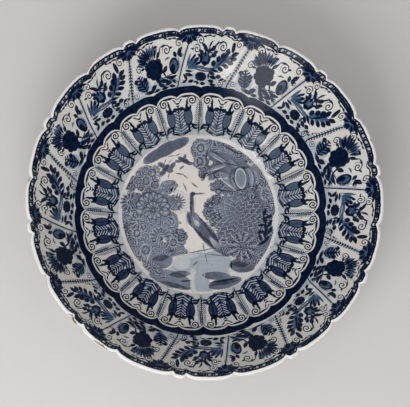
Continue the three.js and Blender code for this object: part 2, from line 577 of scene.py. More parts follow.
class Brush:
    """Paints on one paper, in millimetres, and keeps a field for each ink."""

    def __init__(self, paper, inks=INKS, pressed=1):
        self.pressed = pressed
        self.paper = paper
        self.ink = dict.fromkeys(inks, BARE)

    def mark(self, kind, strength, x, y, turn, length, width, **form):
        cos, sin = direction(turn)
        along = (cos / length, sin / length, -(x * cos + y * sin) / length)
        across = (-sin / width, cos / width, (x * sin - y * cos) / width)
        new = add_node(self.paper.id_data, "Group", {"node_tree": KINDS[kind]}, **form)
        feed_all(new, Paper=self.paper, Along=along, Across=across, Ink=self.ink[strength])
        self.ink[strength] = new.outputs["Ink"]

    def strokes(self, strength, *rows):
        for x, y, turn, length, width, *form in rows:
            form = dict(zip(("Bend", "Taper"), form))
            self.mark("stroke", strength, x, y, turn, length, width * self.pressed, **form)

    def dabs(self, strength, *rows):
        for x, y, turn, length, width in rows:
            self.mark("dab", strength, x, y, turn, length, width)

    def bars(self, strength, *rows):
        for *place, bend in rows:
            self.mark("bar", strength, *place, Bend=bend)

    def rings(self, strength, line, *rows):
        for place in rows:
            self.mark("ring", strength, *place, Line=line)

    def curls(self, strength, *rows, pitch=0.6, line=0.2):
        for x, y, turn, radius, hand in rows:
            self.mark("curl", strength, x, y, turn, radius, radius * hand, Pitch=pitch, Line=line)

    def petals(self, ink, x, y, inner, outer, count, width, start=0, arc=360, squash=1, line=0):
        """Strokes that point away from a middle, or outlines where a line is given."""
        for i in range(count):
            cos, sin = direction(start + arc * i / count)
            way = Vector((cos, sin * squash))
            centre = Vector((x, y)) + way * (inner + outer) / 2
            lean = math.degrees(math.atan2(way.y, way.x))
            half = (outer - inner) / 2 * way.length
            if line:
                self.rings(ink, line, (*centre, lean, half, width))
            else:
                self.strokes(ink, (*centre, lean, half, width))

    def within(self, limit):
        """Keeps the ink only where a value is below 1."""
        for strength in self.ink:
            self.ink[strength] = larger(self.ink[strength], limit)

    def add(self, field, *strengths):
        """Adds a field to some of the inks."""
        for strength in strengths:
            self.ink[strength] = smaller(field, self.ink[strength])

    def take(self, other):
        """Adds the ink of another brush."""
        for strength, field in other.ink.items():
            if field != BARE:
                self.add(field, strength)


def paper_of(tree):
    """The face's plan in millimetres, with 1 as its third value, which moves the marks."""
    plan = add_node(tree, "UVMap", {"uv_map": "plan"}).outputs["UV"]
    return vector_calc("MULTIPLY_ADD", plan, (1 / MM, 1 / MM, 0), (0, 0, 1))


def panel_brush(plan_mm, every, axis, middle, lean=0, **brush):
    """A brush for the nearest of the panels that come every so many degrees, and its place."""
    new = add_node(plan_mm.id_data, "Group", {"node_tree": PANEL_PAPER})
    feed_all(new, Plan=plan_mm, Every=every, Axis=axis, Middle=middle, Lean=lean)
    return Brush(new.outputs["Paper"], **brush), new.outputs


def glaze_over(shader, ink, inks=INKS):
    """Lays the inks in the white glaze, weakest first, and finishes the glaze over them."""
    tree = shader.id_data
    ragged = times(minus(mottle(tree, 900, 2), 0.5), 0.5)
    tint = shares(mottle(tree, 22, 3), 0.35, 0.65)
    colour = blend(tint, WARM, COOL)
    colour = blend(shares(mottle(tree, 45, 2), 0.3, 0.6), colour, WHITE)
    pooled = shares(mottle(tree, 260, 3), 0.25, 0.75)
    for strength, field in ink.items():
        thin, thick, low, high = inks[strength]
        blue = blend(pooled, thin, thick)
        cover = shares(plus(field, ragged), 1 + SOFT_EDGE, 1 - SOFT_EDGE)
        weight = scaled(pooled, high - low, low)
        colour = blend(times(cover, weight), colour, blue)
    place = add_node(tree, "TexCoord").outputs["Object"]
    pits = add_node(tree, "TexVoronoi", Vector=place, Scale=95).outputs["Distance"]
    pitted = shares(mottle(tree, 31, 2), 0.46, 0.56)
    pit = times(shares(pits, 0.085, 0.05), pitted)
    colour = blend(times(pit, 0.8), colour, PINHOLE)
    gloss = scaled(pooled, 0.05, 0.07)
    waves = scaled(mottle(tree, 40, 2), 4, mottle(tree, 700, 2))
    uneven = bumps(waves, 0.25, 0.4 * MM)
    feed_all(shader, Base_Color=colour, Roughness=gloss, Normal=uneven)
    feed_all(shader, IOR=1.47, Specular_IOR_Level=0.2)


# The rim is divided into sixteen leaning panels, with a thistle and a frond in turn.
HATCHED_TOP = DIVIDER_TOP + PANEL
THISTLE_AXIS = 9.5  # degrees from the hatched divider, where the thistle stands upright
FROND_AXIS = 13.5

rim, tree, shader = new_material("painted_rim")
plan_mm = paper_of(tree)

# The thistle panel runs clockwise from a hatched divider.
thistle, thistle_at = panel_brush(
    plan_mm, 2 * PANEL, HATCHED_TOP - THISTLE_AXIS, HATCHED_TOP - PANEL / 2, LEAN, pressed=1.2
)
thistle.dabs(
    "light", (-9, 155, 25, 8, 5), (20.5, 143, 0, 4.5, 7), (-18, 134, -30, 9, 7),
    (6, 131, -8, 14, 5),
)
thistle.dabs(
    "mid", (-4, 145, 0, 8, 8.6), (16.8, 143, -10, 4.2, 5.8), (24.2, 151.3, 0, 2.4, 2),
    (-18, 134.5, 25, 6.5, 4.5),
)
thistle.strokes(
    "mid", (11.5, 150.8, 10, 3.2, 0.7, 1), (22, 142.5, 80, 5, 0.6, -1.6), (-14, 127.2, -8, 5, 1),
    (-1, 137.4, -20, 7, 1.2), (9, 136.6, 6, 7, 0.6), (9, 132.6, -4, 9, 0.7),
)
thistle.dabs(
    "dark", (-4, 145.2, 0, 7.2, 8), (1.6, 150.2, 0, 3.2, 3), (2.8, 146.3, 0, 3, 3.2),
    (-10, 147.6, 0, 3, 3.2), (-9.6, 142, 0, 3, 3), (-5.6, 138.8, 0, 3, 2.6),
    (-0.6, 138.9, 0, 3, 2.8), (2.4, 142.4, 0, 2.8, 2.8), (15.4, 141.2, -10, 2.4, 3.6),
)
thistle.petals("mid", -4.5, 148.5, 7, 16.5, 9, 1.3, start=64, arc=118)
thistle.rings("dark", 0.17, (16.8, 143, -10, 4.1, 5.9))
thistle.strokes(
    "dark", (-13.2, 156.4, 142, 7.8, 0.9, 0.3), (-11.4, 158, 130, 6.6, 0.8),
    (-9.2, 158, 118, 6.2, 0.75), (-7.2, 157.6, 105, 5.4, 0.7), (-5.2, 157.4, 94, 5, 0.65),
    (-3.1, 157.2, 84, 4.6, 0.65), (-0.4, 157, 72, 3.8, 0.9), (2.8, 155.6, 52, 3.6, 1.3),
    (-14.6, 154.2, 154, 6.2, 1, 0.3), (-14, 151.8, 170, 5.4, 0.9, 0.3),
    (4.6, 157.6, 58, 3.8, 0.6, -1.2), (9.6, 161.4, 4, 4.4, 0.65, 1.3), (7.6, 142.8, 45, 3.6, 1.7),
    (5.6, 139.6, -60, 6, 0.7, 0.9), (16.9, 158.2, 10, 1.8, 0.8), (1, 162.4, 5, 2.6, 0.8, 0.8),
    (19.9, 151.8, 105, 2.8, 1.5), (25.4, 153.8, 42, 4, 1.7), (26, 149.6, -12, 3.4, 1.6),
    (-15, 147.6, 10, 2.4, 0.9), (-18, 134.8, 114, 9, 0.9, 0.1), (-24.4, 138.8, 20, 2.8, 1.6),
    (-14.2, 138.8, 40, 2.6, 1.4), (-1.5, 134.6, -52, 4.6, 1.5), (4.6, 133.4, -14, 5.6, 1.6),
    (12.4, 134.4, -6, 6.4, 1.3, -1), (1.4, 130.4, -25, 4.2, 1.5), (8.4, 130.4, 8, 4.4, 1.3),
    (15.2, 130.2, -32, 3.8, 1.2), (-7.6, 130, 34, 4.2, 1.8), (-11.4, 127.6, -8, 4.4, 1.2),
    (4, 127.3, 0, 4, 1.1), (11.4, 127.4, -16, 3.6, 1.1), (-4.4, 127.2, 12, 3.4, 1.2),
)
thistle.curls("dark", (12.2, 157.3, 90, 4.4, 1), (-19, 147.8, 60, 3.7, -1))
thistle.mark(
    "frond", "dark", -18.4, 135.2, 114, 8.8, 6.2, Bend=0.15, Taper=-0.2, Pairs=3.4, Slant=-0.34,
    Line=0.3
)
thistle.curls("mid", (-27, 127.6, 0, 3.2, 1))
thistle.within(thistle_at["Across"])

# The frond panel runs the other way from the same hatched divider.
frond, frond_at = panel_brush(
    plan_mm, 2 * PANEL, HATCHED_TOP + FROND_AXIS, HATCHED_TOP + PANEL / 2, LEAN, pressed=1.2
)
frond.dabs(
    "light", (-19, 141, 35, 8, 5), (9, 145, 38, 12, 5.5), (-6, 131.5, 0, 16, 5),
    (-6, 151, 30, 8, 6),
)
frond.strokes(
    "mid", (-20.6, 144.6, 62, 6.6, 1.3, 0.2), (-18.4, 143.8, 46, 7.2, 1.4, 0.2),
    (-17, 141.8, 30, 7.2, 1.4, 0.3), (-23.4, 145, 78, 6.2, 1.1), (-14, 140.4, 12, 8.5, 1, 0.4),
    (-6, 140.2, 0, 15, 0.75, -1), (-8, 138.2, -3, 15, 0.6, -1.6), (2, 138.8, -8, 10, 0.7, 0.6),
    (10.5, 146.8, 40, 11.5, 2, -0.2), (5.6, 144.4, 70, 4.6, 1.8), (10, 147.6, 70, 5.2, 1.9),
    (14, 149.8, 66, 5, 1.8), (17.6, 149.4, 2, 7, 1.3), (15.4, 146.6, -4, 7, 1.3),
    (12.2, 143.9, -12, 7, 1.3), (8.2, 141.4, -18, 6, 1.2),
)
frond.dabs("mid", (-6.4, 147.6, 0, 4.8, 4.6))
frond.strokes(
    "dark", (-19.6, 146.6, 62, 4, 0.55, 0.3), (-16.2, 144.2, 44, 4.6, 0.6, 0.3),
    (-14.6, 146.4, 42, 2.6, 1.3), (-17.6, 148.8, 64, 2.2, 1), (-13.4, 143.2, 26, 3.4, 0.9),
    (-21, 133.6, -8, 4.6, 1.2), (-24.2, 131.4, -48, 3.8, 1.4, 0.6), (-22, 136.4, 0, 4, 0.8),
    (-20.8, 154.4, 0, 2.2, 0.6), (4.2, 160.2, 52, 4, 0.7, -1.1), (8.4, 162.3, 4, 3.8, 0.7, 1.2),
    (-9.4, 158.2, -24, 3.4, 1.2, -0.3), (-7, 155.4, -36, 3.8, 1.4), (-11.2, 152.6, -34, 3.6, 1.4),
    (-12.4, 149.8, -16, 2.6, 1.2), (-2.6, 159.4, 64, 4.2, 0.8, 1), (1.2, 156.4, 44, 3.6, 1.7),
    (3.6, 153.4, 20, 2.8, 1.3), (-3, 154.2, 40, 3, 1.5), (2.2, 150.8, 14, 2.9, 1.5),
    (-10.6, 147.2, 84, 4.8, 1.3, -0.5), (-2.4, 147, 74, 4.4, 1.1, 0.6),
    (-6.4, 143.8, 0, 4.4, 1.5, -0.8), (-7, 151.6, 90, 2.6, 1), (2.4, 144.6, 78, 2.8, 2),
    (7.2, 148.2, 78, 2.8, 2.1), (11.6, 150.9, 74, 3, 2.1), (15.6, 153.6, 64, 3.8, 2),
    (23.6, 152, 12, 4.4, 1.6), (22.6, 148.4, -4, 3.8, 1.6), (19.8, 145.2, -12, 3.8, 1.6),
    (15.6, 142.4, -20, 3.8, 1.5), (10.4, 139.8, -24, 3.6, 1.4), (4.6, 138.9, -20, 4.6, 1),
    (11.6, 146.6, 42, 8, 0.8), (-0.8, 134.6, 84, 3.4, 0.8, 1.1), (2.2, 136.6, -18, 3.6, 1.3),
    (3.8, 133.2, -14, 4, 1.4), (2.2, 130, -8, 3.4, 1.3), (9.4, 133.8, -8, 3.2, 1.5),
    (13, 131.6, 14, 3.4, 0.9, 0.8), (-18.4, 128.4, 16, 3.2, 1.3), (-12.6, 127.6, -4, 3.2, 1.3),
    (-6, 127.4, 4, 3, 1.3), (-25, 127.5, 30, 3, 1.1), (4, 127.2, -6, 3.6, 1.1),
    (19.4, 133.6, 40, 2, 0.8), (21.4, 136, 40, 1.8, 0.7), (17, 130.6, 20, 2.4, 0.8),
)
frond.curls("dark", (-16.2, 154.8, 100, 4, 1), (10.4, 157.8, 90, 4.6, 1))
frond.rings("dark", 0.3, (-1.8, 151, 0, 2.2, 2))
frond.dabs("dark", (21.2, 158.2, -4, 2, 4.8), (-9, 133.4, 0, 3.4, 2.4))
frond.petals("dark", -8.6, 133.2, 1.2, 6.4, 11, 1.5, start=8, squash=0.66)
frond.curls("dark", (11.8, 128.2, 30, 3.4, 1), (20.6, 127.4, 150, 3, -1))
frond.within(frond_at["Across"])

# Every divider has a burst of leaves at its top, with a curl on each side.
divider, divider_at = panel_brush(plan_mm, PANEL, DIVIDER_TOP, DIVIDER_TOP, pressed=1.1)
divider.dabs("mid", (0, 165.6, 0, 8.6, 4.6))
divider.petals("dark", 0, 169, 3, 9.6, 6, 1, start=-158, arc=162)
divider.strokes(
    "dark", (-9, 166.6, 22, 4.6, 1.2, -0.5), (9, 166.6, -22, 4.6, 1.2, -0.5),
    (0, 168.8, 0, 8.4, 1.6), (-15.4, 165.6, -4, 2.8, 0.75, 0.9), (-20, 164.8, 8, 2.8, 0.7, -0.9),
    (-24.4, 165, -8, 2.4, 0.65, 0.9), (17, 164.6, 4, 2.8, 0.75, -0.9),
    (21.4, 165.1, -6, 2.8, 0.7, 0.9), (25.6, 164, 4, 2.4, 0.65, -0.9), (-5.6, 163.6, 48, 3.2, 1.1),
    (5.6, 163.6, -48, 3.2, 1.1), (0, 162.2, 90, 2.8, 1.1),
)
divider.curls("dark", (-11, 161.8, 60, 3.9, -1), (12, 161.8, 120, 3.9, 1))

# A plain line and a garland of ticks over a pale wash divide the panels in turn.
plain, _ = panel_brush(plan_mm, 2 * PANEL, DIVIDER_TOP, DIVIDER_TOP)
plain.bars("dark", (-6.8, 143.6, 72.2, 22.5, 0.6, 0.9))
plain.bars("light", (-8, 141, 72.2, 19, 1.6, 0.4))
hatched, _ = panel_brush(plan_mm, 2 * PANEL, HATCHED_TOP, HATCHED_TOP)
hatched.bars("light", (-6.4, 143, 73, 20, 2.2, 0.1))
hatched.bars("dark", (-6.2, 143.6, 73, 22, 0.5, 0.5))
hatched.mark("frond", "dark", -6.2, 143, 73, 20, 2.1, Bend=0.12, Pairs=8, Slant=0.05, Line=0.22)

# The border follows the lobed edge: two dark lines with a chain of light beads between them.
BORDER_LINES = ((171.8, 0.7), (168.2, 0.65))
BEADS_AT = 170.1
BEAD_EVERY = 2.25
# The edge ink beyond this radius is a painted highlight on the lip.
LIP_HIGHLIGHT_RADIUS = 175.2
radius = divider_at["Radius"]
for line_radius, half in BORDER_LINES:
    divider.add(line_at(radius, line_radius, half), "dark")
beads, _ = panel_brush(plan_mm, BEAD_EVERY, 0, 0)
beads.rings("dark", 0.42, (0.4, BEADS_AT, 20, 2.7, 1.7))
uneven = scaled(mottle(tree, 70, 2), 5, -1.6)
beads.add(plus(uneven, line_at(radius, BEADS_AT, 2)), "dark")
divider.take(beads)
# The lip is whiter here: a painted highlight.
divider.ink["edge"] = divided(minus(LIP_HIGHLIGHT_RADIUS, radius), 2.4)
divider.add(line_at(radius, BEADS_AT, 2.2), "light")

# The foot of the panels, near the band, is tinted pale blue in patches.
PALE_FOOT_TO = 132
fading = divided(minus(radius, PALE_FOOT_TO), 9)
divider.add(scaled(mottle(tree, 90, 3), 2.2, fading), "light")
for brush in (thistle, frond, plain, hatched):
    divider.take(brush)
glaze_over(shader, divider.ink)

# The wall is divided into sixteen fans under a dark scalloped band.
# The two greys are the pods' and leaves' navy under painted sheen.
FAN_SHEEN_GREY = (0.058, 0.09, 0.145, 1)
LEAF_SHEEN_GREY = (0.13, 0.165, 0.215, 1)
FAN_NAVY = (0.004, 0.014, 0.055, 1)
AWAY_FROM_SHEEN = 255  # degrees: the fans keep their navy on this side, and turn grey towards the other as painted sheen
wall_paint, tree, shader = new_material("painted_wall")
plan_mm = paper_of(tree)
away_from_sheen_way = (*direction(AWAY_FROM_SHEEN), 0)
away_from_sheen = shares(vector_calc("DOT_PRODUCT", plan_mm, away_from_sheen_way), -60, 50)
# Pods and leaves blend from navy into grey across the dish: painted sheen.
pods = blend(away_from_sheen, FAN_SHEEN_GREY, FAN_NAVY)
leaves = blend(away_from_sheen, LEAF_SHEEN_GREY, CLEAR_BLUE)
WALL_INKS = {
    "light": (PALE_WASH, PALE_WASH, 0.3, 0.7),
    "mid": (leaves, leaves, 0.8, 1),
    "pod": (pods, pods, 0.92, 1),
    "dark": (COBALT, DEEP_BLUE, 0.97, 1),
}
fan, fan_at = panel_brush(plan_mm, PANEL, FAN_MIDDLE, FAN_MIDDLE, inks=WALL_INKS)
fan.dabs(
    "light", (0, 95, 0, 7, 12.5), (-14.5, 88, 30, 5, 4), (14.5, 88, -30, 5, 4), (0, 84, 0, 9, 2.6),
)
fan.dabs("dark", (-3.2, 106.4, 30, 2.4, 1.8), (3.2, 106.4, -30, 2.4, 1.8))
for strength, line in (("mid", 0.35), ("pod", 0.21)):
    fan.mark("frond", strength, 0, 98.6, 90, 10, 5.8, Pairs=3.6, Slant=-0.42, Line=line)
    fan.mark("frond", strength, 0, 86.8, 90, 6, 12, Pairs=2.2, Slant=-1, Line=line)
for side in (-1, 1):
    fan.dabs("pod", (side * 8.8, 98.8, -side * 3, 3.9, 7.8), (side * 8.2, 92.6, -side * 12, 2.9, 5))
    fan.rings("dark", 0.1, (side * 8.8, 98.8, -side * 3, 4, 8.2))
    fan.strokes("mid", (side * 8.6, 98, 90 - side * 4, 7, 1, 0.3))
    fan.strokes(
        "dark", (side * 11.9, 106, 90 - side * 26, 3.2, 1.2), (side * 8.8, 107, 90, 4, 1.5),
        (side * 5.6, 105.6, 90 + side * 26, 3.4, 1.1), (side * 8.8, 104.6, 0, 3.4, 1.7),
        (side * 9.6, 111.2, 90 - side * 8, 3.6, 1.2), (side * 8.6, 116.6, -side * 5, 6, 0.7, -0.6),
        (side * 3.4, 114.2, side * 40, 2.4, 0.7), (side * 8, 87, 90 + side * 4, 4.6, 1),
        (side * 12.6, 89.4, -side * 30, 4.6, 1.3, -side * 1.6),
        (side * 13.4, 86.2, -side * 30, 4.2, 1.1, -side * 1.6),
        (side * 4.6, 83.2, side * 24, 4.6, 0.9, -side * 0.8),
        (side * 17.2, 84.6, 90 + side * 10, 3, 0.8),
    )
    fan.curls("dark", (side * 14.6, 112.6, 90 - side * 60, 4.6, side), pitch=0.52, line=0.27)
fan.strokes(
    "dark", (0, 111.6, 0, 3, 0.8, -1.6), (0, 109.2, 0, 2.4, 0.8, -1.6), (0, 96, 90, 13, 0.45),
    (0, 106.4, 90, 3, 1.1),
)

# The divider of two fans: a dark line, and a strip of slanting ticks on each side.
FAN_FOOT = 82.8
strip, _ = panel_brush(plan_mm, PANEL, 0, 0, inks=WALL_INKS)
strip.bars("dark", (0, 99, 90, 16, 0.55, 0))
strip.bars("light", (2.6, 98, 90, 14.5, 1.6, 0), (-2.4, 98, 90, 14, 1.3, 0))
strip.bars("mid", (1.6, 105, 90, 7, 0.8, 0))
strip.mark("frond", "dark", 0, 98.5, 90, 19, 4.2, Pairs=9, Slant=0.24, Line=0.15)
fan.take(strip)
fan.add(line_at(fan_at["Radius"], FAN_FOOT, 2.4), "light")

# The band's inner edge has two lobes over each fan, and a white and a dark line along it.
BAND_INSIDE = 119.9
BAND_OUTSIDE = 126.6
LOBE_HALF = 5  # degrees
LOBE_DEPTH = 2.8
WHITE_LINE = (-0.8, 0.75)  # the place of a line along the edge, and half its width
DARK_LINE = (-2.1, 0.5)
radius = fan_at["Radius"]
off = calc("ABSOLUTE", fan_at["Off"])
lobe = calc("POWER", line_at(off, LOBE_HALF, LOBE_HALF), 3)
inside = minus(BAND_INSIDE, times(lobe, LOBE_DEPTH))
dip = times(calc("POWER", fan_at["Across"], 4), 2.4)
outside = minus(scaled(away_from_sheen, -0.3, BAND_OUTSIDE), dip)
above = minus(radius, inside)
below = minus(outside, radius)
white_line = calc("LESS_THAN", line_at(above, *WHITE_LINE), 1)
for strength in fan.ink:
    fan.ink[strength] = scaled(white_line, BARE, fan.ink[strength])
fan.add(line_at(above, *DARK_LINE), "dark")
depth = smaller(above, below)
band = minus(1, times(depth, 2))
fan.add(band, "mid", "dark")
glaze_over(shader, fan.ink, WALL_INKS)

# The picture on the floor is softer: a long-necked bird on a rock between two masses of flowers.
SOFT_WASH = (0.35, 0.395, 0.46, 1)
SOFT_BLUE = (0.165, 0.195, 0.255, 1)
SOFT_DEEP = (0.075, 0.088, 0.135, 1)
SOFT_DARK = (0.012, 0.018, 0.04, 1)
SOFT_LINE = (0.45, 0.49, 0.56, 1)
PALE_SKY = (0.8, 0.735, 0.69, 1)
PALE_STONE = (0.56, 0.58, 0.6, 1)
NAVY = (0.003, 0.008, 0.024, 1)
floor_paint, tree, shader = new_material("painted_floor")
paper = paper_of(tree)
pool = shares(mottle(tree, 28, 3), 0.42, 0.6)
masses_blue = blend(pool, SOFT_BLUE, SOFT_DEEP)
FLOOR_INKS = {
    "sky": (PALE_SKY, PALE_SKY, 0.5, 1),
    "ground": (SOFT_WASH, SOFT_WASH, 0.85, 1),
    "blue": (masses_blue, masses_blue, 0.9, 1),
    "wash": (SOFT_WASH, SOFT_WASH, 0.25, 0.7),
    "deep": (SOFT_DEEP, SOFT_DEEP, 0.55, 0.95),
    "reserve": (SOFT_LINE, SOFT_LINE, 0.35, 0.95),
    "shade": (SOFT_DARK, SOFT_DARK, 0.5, 0.95),
    "white": (PALE_STONE, PALE_STONE, 0.6, 1),
    "navy": (COBALT, NAVY, 0.97, 1),
}
picture = Brush(paper, FLOOR_INKS)

# The two masses of flowers and leaves, and the places of the larger flowers in them.
masses = Brush(paper, FLOOR_INKS)
masses.dabs(
    "blue", (-52, 41, 0, 10, 8), (-52, 31, 0, 13, 9), (-64, 11, 10, 13, 10), (-44, 12, 0, 17, 14),
    (-25, 11, 0, 8, 8), (-31, 27, 20, 10, 7), (-60, -9, 0, 15, 14), (-40, -10, 0, 21, 16),
    (-22, -24, 0, 11, 10), (-52, -30, 10, 17, 12), (-29, -36, -6, 19, 7), (2, 66, 0, 10, 11),
    (20, 70, -12, 15, 7), (2, 53, 0, 8, 8), (24, 60, -15, 18, 10), (40, 55, -60, 12, 8),
    (22, 45, 10, 19, 8), (44, 38, 0, 16, 15), (25, 28, 0, 14, 8), (50, 22, 0, 21, 11),
    (66, 22, 0, 10, 13), (38, 0, 0, 31, 21), (17, 6, 60, 15, 12), (62, -6, 0, 12, 18),
    (43, -30, 0, 21, 14), (60, -24, 0, 10, 12), (30, -20, 0, 12, 10), (5, 42, 40, 6, 5),
    (69, 8, 0, 8, 13), (60, 42, -45, 12, 7), (60, -36, 40, 12, 8), (53, -45, 20, 12, 6),
    (-66, -22, 0, 9, 10), (-44, -56, -35, 14, 6), (47, 60, -40, 10, 5), (67, -24, 70, 14, 8),
    (59, -41, 50, 13, 7), (71, 16, 80, 17, 7), (-70, -3, 90, 20, 8), (-61, -38, -50, 13, 7),
    (-66, 30, 60, 10, 6),
)
flowers = Brush(paper)
flowers.dabs(
    "mid", (37, -1, 20, 26, 20), (-46, 10, 0, 17, 15), (40, 40, 0, 17, 15), (21, 54, 0, 16, 10),
)

# The chrysanthemum on the right, with dark leaves round it and one clump of navy leaves.
for line_ink, turn, line in (("reserve", 20, 0.2), ("shade", 23, 0.11)):
    picture.mark("scales", line_ink, 38, -3, turn, 27, 21.5, Rings=4.6, Line=line)
picture.rings("reserve", 0.18, (67, 22, 0, 5, 6))
picture.rings("reserve", 0.22, (25, -27, 0, 4, 4))
picture.strokes(
    "navy", (66.4, 3, 70, 4.6, 1.7), (70.4, -1, 30, 4.4, 1.6), (66.6, -5, 110, 5, 1.9),
    (71.8, -8, 60, 5, 1.8), (67.8, -12, 100, 5, 2), (63.4, -10, 10, 4.2, 1.5),
    (72, -15, 60, 5, 1.9), (67, -18.6, 80, 5, 2), (62.4, -17, 20, 4.2, 1.5),
    (68.6, -24, 50, 5, 1.8), (64.4, -28, 30, 5, 1.6), (62, -22.6, 110, 4.2, 1.5),
    (-27, 24.6, 66, 4, 0.9, 0.5), (33, -51, 88, 3.4, 1.1),
)

# The lily above it: long pale petals that open to the left, and an upright one with a white rim.
picture.strokes(
    "wash", (20, 57.5, -32, 9.5, 3), (18, 47.2, 20, 10, 2), (30, 33, -38, 11, 3.8, 0.25),
    (28, 64, -20, 11, 2), (10, 66, -60, 7, 1.6), (36, 50, -50, 9, 1.8), (24, 41, -16, 8, 1.6),
    (47, 27, 30, 8, 2.2), (53, 37, 96, 13, 2.6, -2.6), (33.4, 36, 96, 10, 2, 1.8),
    (58.4, 37, 100, 12, 1.4, -5),
)
picture.dabs("wash", (42, 37, 96, 9.4, 4.8))
picture.rings("white", 0.12, (42, 37, 96, 9.6, 5.2))
picture.strokes(
    "white", (18.4, 46.2, 20, 10, 0.7, 0.2), (29.6, 30.4, -38, 11, 0.8, 0.4),
    (19.4, 55.6, -32, 9, 0.5, 0.2), (-26, 24.4, 66, 4.4, 0.8, 0.5),
)
picture.rings("shade", 0.07, (42, 37, 96, 11.2, 6.4))
picture.strokes("reserve", (54.4, 37, 96, 13, 0.5, -12), (60, 37, 100, 12, 0.5, -12))
picture.strokes(
    "shade", (56.2, 37, 96, 14, 0.6, -11), (50.4, 37, 96, 12.5, 0.5, -9),
    (31.4, 36, 96, 11, 0.6, 7), (36.4, 33.6, -58, 8, 0.9, 0.3), (21, 59.4, -32, 9.5, 0.7, 0.2),
    (33, 66, -28, 12, 0.9), (16, 63, -20, 8, 0.8), (28, 52, -12, 12, 1), (16, 42.6, 24, 9, 1.2),
    (44, 47.6, 10, 8, 1.4), (8, 60, 80, 7, 0.9), (4.4, 37.4, 70, 4.4, 2.4), (25, 24.4, -8, 10, 1.1),
    (44, 26.4, 20, 10, 1.2), (58, 28, 60, 8, 0.9),
)
picture.dabs("deep", (5, 42, 40, 4.4, 2.8), (36, 44, 40, 5, 2.6), (14, 37, 20, 5, 2.4))

# The peony, the lotus and the feathery leaves on the left, and the small flowers everywhere.
for turn in range(-30, 230, 43):
    cos, sin = direction(turn)
    place = (-52 + 9.4 * cos, 34 + 9.4 * sin, turn)
    picture.rings("reserve", 0.13, (*place, 4.8, 4.6))
    picture.rings("shade", 0.13, (*place, 3.6, 3.4))
for inner, outer, count, start, arc in (
    (7, 17, 9, -14, 228), (1, 10, 6, 2, 220), (3, 11, 6, 190, 180),
):
    width = 0.19 * (outer + inner)
    picture.petals("wash", -46, 5, inner, outer, count, width * 1.1, start, arc)
    picture.petals("shade", -46, 5, inner, outer, count, width, start, arc, line=0.12)
    picture.petals("reserve", -46, 5, inner, outer, count, width * 0.22, start, arc)
for x, y, start, arc in (
    (-38, -24, 10, 200), (-60, -8, 70, 260), (-22, 12, -70, 180), (-69, 11, 70, 220),
):
    picture.petals("reserve", x, y, 3, 12, 8, 2.2, start, arc, line=0.16)
    picture.petals("shade", x, y, 3, 10, 8, 0.8, start, arc)
for x, y, size in (
    (-53, 33, 5), (-62, -20, 4.6), (-25, -29, 4.4), (-53, -37, 5.6), (2, 67, 5.2), (1, 53.5, 5),
):
    picture.dabs("wash", (x, y, 0, size, size * 1.1))
    picture.rings("reserve", 0.13, (x, y, 0, size, size * 1.15))
    picture.rings("shade", 0.2, (x, y, 0, size * 0.6, size * 0.7))
for row in (
    ("deep", 18, 6, 3, 14, 8, 3, 75, 250), ("shade", 18, 6, 4, 12, 8, 0.6, 75, 250),
    ("reserve", 44, -32, 4, 17, 11, 1, 5), ("shade", 44, -32, 5, 16, 11, 0.6, 20),
    ("deep", 52, 22, 2, 12, 8, 2, 10), ("reserve", -31, 26, 3, 9, 7, 1.2, 20),
    ("deep", -70, 11, 0, 10, 7, 1.8, 70, 200), ("deep", -24, 11, 0, 8, 6, 2.2, -60, 200),
    ("deep", -20, -22, 0, 8, 7, 2.2, -20, 220), ("deep", -44, 44, 0, 6, 4, 1.8, -20, 150),
    ("shade", -71, -14, 0, 6, 5, 1, 60, 220),
):
    picture.petals(*row)

# The cloud, the butterflies and the bird.
picture.dabs(
    "blue", (-44, 59, 32, 14, 5.4), (-33, 65.4, 30, 15, 6.4), (-21, 71.2, 26, 12, 5.4),
    (-33, 46, 50, 5, 3), (-15, 54.5, -25, 6.8, 2.7), (-36.6, 41.2, 40, 5, 2.6),
    (-26.6, 48.6, 50, 4.6, 2.4), (-37, 49, -30, 4.8, 2.6), (-29, 44, 0, 3.4, 2.4),
    (-20.6, 53.2, 0, 3.4, 1.6), (-9, 51.4, 0, 3.8, 1.8), (-14, 57.8, 80, 3, 1.6),
    (-17, 47, 40, 3, 0.9), (-6.4, 20.4, 10, 3, 2.3), (-5.5, -5, -66, 8.6, 6.6),
    (8.5, -20, -49, 24, 7.4), (23, -35, -44, 10, 4),
)
picture.dabs("deep", (-43, 59.6, 32, 12, 4.6), (-33, 65, 30, 13, 5.4), (-22, 70.6, 27, 11, 4.4))
picture.dabs("shade", (-33, 46, 50, 4.2, 1.8), (-15, 54.5, -25, 5.6, 1.7))
picture.strokes(
    "shade", (-36.6, 41.4, 40, 3.4, 1), (-26.4, 48.8, 50, 3, 0.9), (-37.4, 49.2, -30, 3.2, 1),
    (-28, 58.6, 10, 4, 0.6), (-21, 60, 24, 3.6, 0.6), (-34, 53, 70, 3, 0.5), (-29, 53, 50, 3, 0.5),
    (-19, 40.5, -10, 4.6, 0.8), (-13.5, 38, -40, 3.4, 0.7), (-30, 39, 80, 3, 0.6),
    (-4.4, 29.5, -38, 4.8, 0.8), (-14, 27.5, -66, 5.4, 0.8, 0.3), (-69, 30, 36, 4.4, 0.8),
    (-72, 26, 50, 3, 0.7), (5.5, -33, -78, 5, 0.7), (0, 21, 4, 6.6, 1), (-6, 20.6, 10, 3, 1.6),
    (-7.4, 11, 88, 13, 1.7, 0.25), (-9.5, -4, -75, 9, 1.4), (5, -9, -52, 10, 1.8),
    (14, -20, -50, 12, 1.4), (6, -24, -44, 18, 1.6, 0.2),
)
picture.bars("blue", (-6.6, 8, 92, 11, 2.2, -0.2))
picture.dabs("white", (-1.6, -9, -55, 3.6, 2.2))
picture.strokes(
    "reserve", (1, -5.4, -48, 7, 0.6), (-12.6, -6, -86, 9, 0.8, 0.3), (12, -33, -40, 12, 0.6),
)

